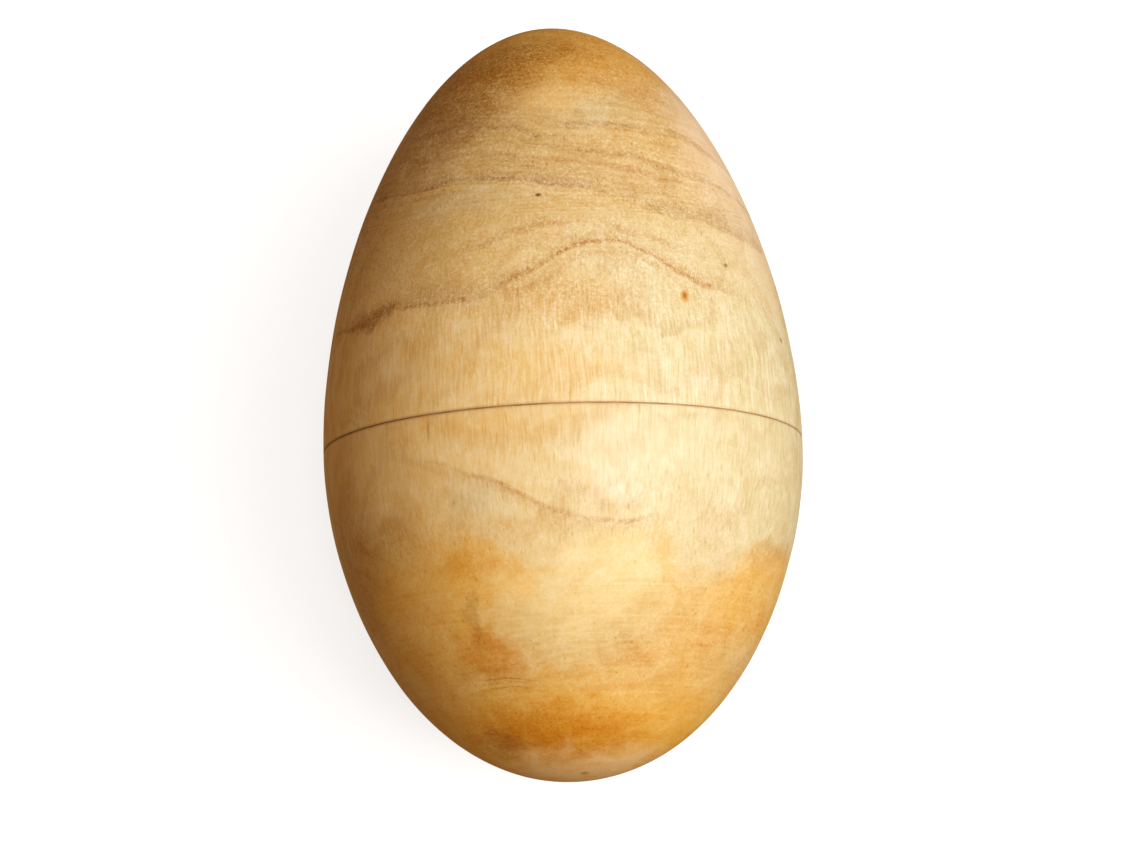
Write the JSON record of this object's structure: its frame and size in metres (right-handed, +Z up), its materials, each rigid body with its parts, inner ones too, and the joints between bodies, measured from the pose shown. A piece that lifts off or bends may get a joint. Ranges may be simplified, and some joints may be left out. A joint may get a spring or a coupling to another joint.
{
  "type": "egg shaker",
  "caption": "Turned wooden egg-shaped hand shaker: glued half shells with a hairline joint round the belly and loose steel shot in the sealed hollow, which rattles when shaken.",
  "frame": {"origin": "centre of the joint plane, where the egg is widest, on the turning axis", "axes": "+Y along the turning axis towards the pointed end, +Z up with the egg lying on its side, +X to its right"},
  "size_m": [0.05, 0.08, 0.05],
  "materials": {
    "pointed_wood": "turned pale hardwood, satin clear coat",
    "blunt_wood": "turned pale hardwood, satin clear coat",
    "glue": "set wood glue, dark with dust",
    "steel_shot": "polished steel"
  },
  "bodies": {
    "shell": {"pointed_half_shell": "pointed_wood", "blunt_half_shell": "blunt_wood", "glue_ring": "glue"},
    "shot_01": {"steel_shot_01": "steel_shot"},
    "shot_02": {"steel_shot_02": "steel_shot"},
    "shot_03": {"steel_shot_03": "steel_shot"},
    "shot_04": {"steel_shot_04": "steel_shot"},
    "shot_05": {"steel_shot_05": "steel_shot"},
    "shot_06": {"steel_shot_06": "steel_shot"},
    "shot_07": {"steel_shot_07": "steel_shot"},
    "shot_08": {"steel_shot_08": "steel_shot"},
    "shot_09": {"steel_shot_09": "steel_shot"},
    "shot_10": {"steel_shot_10": "steel_shot"},
    "shot_11": {"steel_shot_11": "steel_shot"},
    "shot_12": {"steel_shot_12": "steel_shot"},
    "shot_13": {"steel_shot_13": "steel_shot"},
    "shot_14": {"steel_shot_14": "steel_shot"},
    "shot_15": {"steel_shot_15": "steel_shot"},
    "shot_16": {"steel_shot_16": "steel_shot"},
    "shot_17": {"steel_shot_17": "steel_shot"},
    "shot_18": {"steel_shot_18": "steel_shot"},
    "shot_19": {"steel_shot_19": "steel_shot"},
    "shot_20": {"steel_shot_20": "steel_shot"},
    "shot_21": {"steel_shot_21": "steel_shot"},
    "shot_22": {"steel_shot_22": "steel_shot"},
    "shot_23": {"steel_shot_23": "steel_shot"},
    "shot_24": {"steel_shot_24": "steel_shot"},
    "shot_25": {"steel_shot_25": "steel_shot"},
    "shot_26": {"steel_shot_26": "steel_shot"},
    "shot_27": {"steel_shot_27": "steel_shot"},
    "shot_28": {"steel_shot_28": "steel_shot"},
    "shot_29": {"steel_shot_29": "steel_shot"},
    "shot_30": {"steel_shot_30": "steel_shot"},
    "shot_31": {"steel_shot_31": "steel_shot"},
    "shot_32": {"steel_shot_32": "steel_shot"},
    "shot_33": {"steel_shot_33": "steel_shot"},
    "shot_34": {"steel_shot_34": "steel_shot"},
    "shot_35": {"steel_shot_35": "steel_shot"},
    "shot_36": {"steel_shot_36": "steel_shot"},
    "shot_37": {"steel_shot_37": "steel_shot"},
    "shot_38": {"steel_shot_38": "steel_shot"},
    "shot_39": {"steel_shot_39": "steel_shot"}
  },
  "joints": [
    {"name": "shot_01_bounce", "type": "slide", "parent": "shell", "child": "shot_01", "axis": [0, 0, 1], "range_m": [0, 0.02585]},
    {"name": "shot_02_bounce", "type": "slide", "parent": "shell", "child": "shot_02", "axis": [0, 0, 1], "range_m": [0, 0.02971]},
    {"name": "shot_03_bounce", "type": "slide", "parent": "shell", "child": "shot_03", "axis": [0, 0, 1], "range_m": [0, 0.03174]},
    {"name": "shot_04_bounce", "type": "slide", "parent": "shell", "child": "shot_04", "axis": [0, 0, 1], "range_m": [0, 0.03215]},
    {"name": "shot_05_bounce", "type": "slide", "parent": "shell", "child": "shot_05", "axis": [0, 0, 1], "range_m": [0, 0.03212]},
    {"name": "shot_06_bounce", "type": "slide", "parent": "shell", "child": "shot_06", "axis": [0, 0, 1], "range_m": [0, 0.03113]},
    {"name": "shot_07_bounce", "type": "slide", "parent": "shell", "child": "shot_07", "axis": [0, 0, 1], "range_m": [0, 0.02886]},
    {"name": "shot_08_bounce", "type": "slide", "parent": "shell", "child": "shot_08", "axis": [0, 0, 1], "range_m": [0, 0.02714]},
    {"name": "shot_09_bounce", "type": "slide", "parent": "shell", "child": "shot_09", "axis": [0, 0, 1], "range_m": [0, 0.03152]},
    {"name": "shot_10_bounce", "type": "slide", "parent": "shell", "child": "shot_10", "axis": [0, 0, 1], "range_m": [0, 0.03412]},
    {"name": "shot_11_bounce", "type": "slide", "parent": "shell", "child": "shot_11", "axis": [0, 0, 1], "range_m": [0, 0.0352]},
    {"name": "shot_12_bounce", "type": "slide", "parent": "shell", "child": "shot_12", "axis": [0, 0, 1], "range_m": [0, 0.03523]},
    {"name": "shot_13_bounce", "type": "slide", "parent": "shell", "child": "shot_13", "axis": [0, 0, 1], "range_m": [0, 0.0349]},
    {"name": "shot_14_bounce", "type": "slide", "parent": "shell", "child": "shot_14", "axis": [0, 0, 1], "range_m": [0, 0.03341]},
    {"name": "shot_15_bounce", "type": "slide", "parent": "shell", "child": "shot_15", "axis": [0, 0, 1], "range_m": [0, 0.0308]},
    {"name": "shot_16_bounce", "type": "slide", "parent": "shell", "child": "shot_16", "axis": [0, 0, 1], "range_m": [0, 0.02543]},
    {"name": "shot_17_bounce", "type": "slide", "parent": "shell", "child": "shot_17", "axis": [0, 0, 1], "range_m": [0, 0.03073]},
    {"name": "shot_18_bounce", "type": "slide", "parent": "shell", "child": "shot_18", "axis": [0, 0, 1], "range_m": [0, 0.03405]},
    {"name": "shot_19_bounce", "type": "slide", "parent": "shell", "child": "shot_19", "axis": [0, 0, 1], "range_m": [0, 0.03583]},
    {"name": "shot_20_bounce", "type": "slide", "parent": "shell", "child": "shot_20", "axis": [0, 0, 1], "range_m": [0, 0.0362]},
    {"name": "shot_21_bounce", "type": "slide", "parent": "shell", "child": "shot_21", "axis": [0, 0, 1], "range_m": [0, 0.03617]},
    {"name": "shot_22_bounce", "type": "slide", "parent": "shell", "child": "shot_22", "axis": [0, 0, 1], "range_m": [0, 0.03529]},
    {"name": "shot_23_bounce", "type": "slide", "parent": "shell", "child": "shot_23", "axis": [0, 0, 1], "range_m": [0, 0.03331]},
    {"name": "shot_24_bounce", "type": "slide", "parent": "shell", "child": "shot_24", "axis": [0, 0, 1], "range_m": [0, 0.03021]},
    {"name": "shot_25_bounce", "type": "slide", "parent": "shell", "child": "shot_25", "axis": [0, 0, 1], "range_m": [0, 0.02714]},
    {"name": "shot_26_bounce", "type": "slide", "parent": "shell", "child": "shot_26", "axis": [0, 0, 1], "range_m": [0, 0.03152]},
    {"name": "shot_27_bounce", "type": "slide", "parent": "shell", "child": "shot_27", "axis": [0, 0, 1], "range_m": [0, 0.03412]},
    {"name": "shot_28_bounce", "type": "slide", "parent": "shell", "child": "shot_28", "axis": [0, 0, 1], "range_m": [0, 0.0352]},
    {"name": "shot_29_bounce", "type": "slide", "parent": "shell", "child": "shot_29", "axis": [0, 0, 1], "range_m": [0, 0.03523]},
    {"name": "shot_30_bounce", "type": "slide", "parent": "shell", "child": "shot_30", "axis": [0, 0, 1], "range_m": [0, 0.0349]},
    {"name": "shot_31_bounce", "type": "slide", "parent": "shell", "child": "shot_31", "axis": [0, 0, 1], "range_m": [0, 0.03341]},
    {"name": "shot_32_bounce", "type": "slide", "parent": "shell", "child": "shot_32", "axis": [0, 0, 1], "range_m": [0, 0.0308]},
    {"name": "shot_33_bounce", "type": "slide", "parent": "shell", "child": "shot_33", "axis": [0, 0, 1], "range_m": [0, 0.02585]},
    {"name": "shot_34_bounce", "type": "slide", "parent": "shell", "child": "shot_34", "axis": [0, 0, 1], "range_m": [0, 0.02971]},
    {"name": "shot_35_bounce", "type": "slide", "parent": "shell", "child": "shot_35", "axis": [0, 0, 1], "range_m": [0, 0.03174]},
    {"name": "shot_36_bounce", "type": "slide", "parent": "shell", "child": "shot_36", "axis": [0, 0, 1], "range_m": [0, 0.03215]},
    {"name": "shot_37_bounce", "type": "slide", "parent": "shell", "child": "shot_37", "axis": [0, 0, 1], "range_m": [0, 0.03212]},
    {"name": "shot_38_bounce", "type": "slide", "parent": "shell", "child": "shot_38", "axis": [0, 0, 1], "range_m": [0, 0.03113]},
    {"name": "shot_39_bounce", "type": "slide", "parent": "shell", "child": "shot_39", "axis": [0, 0, 1], "range_m": [0, 0.02886]}
  ]
}
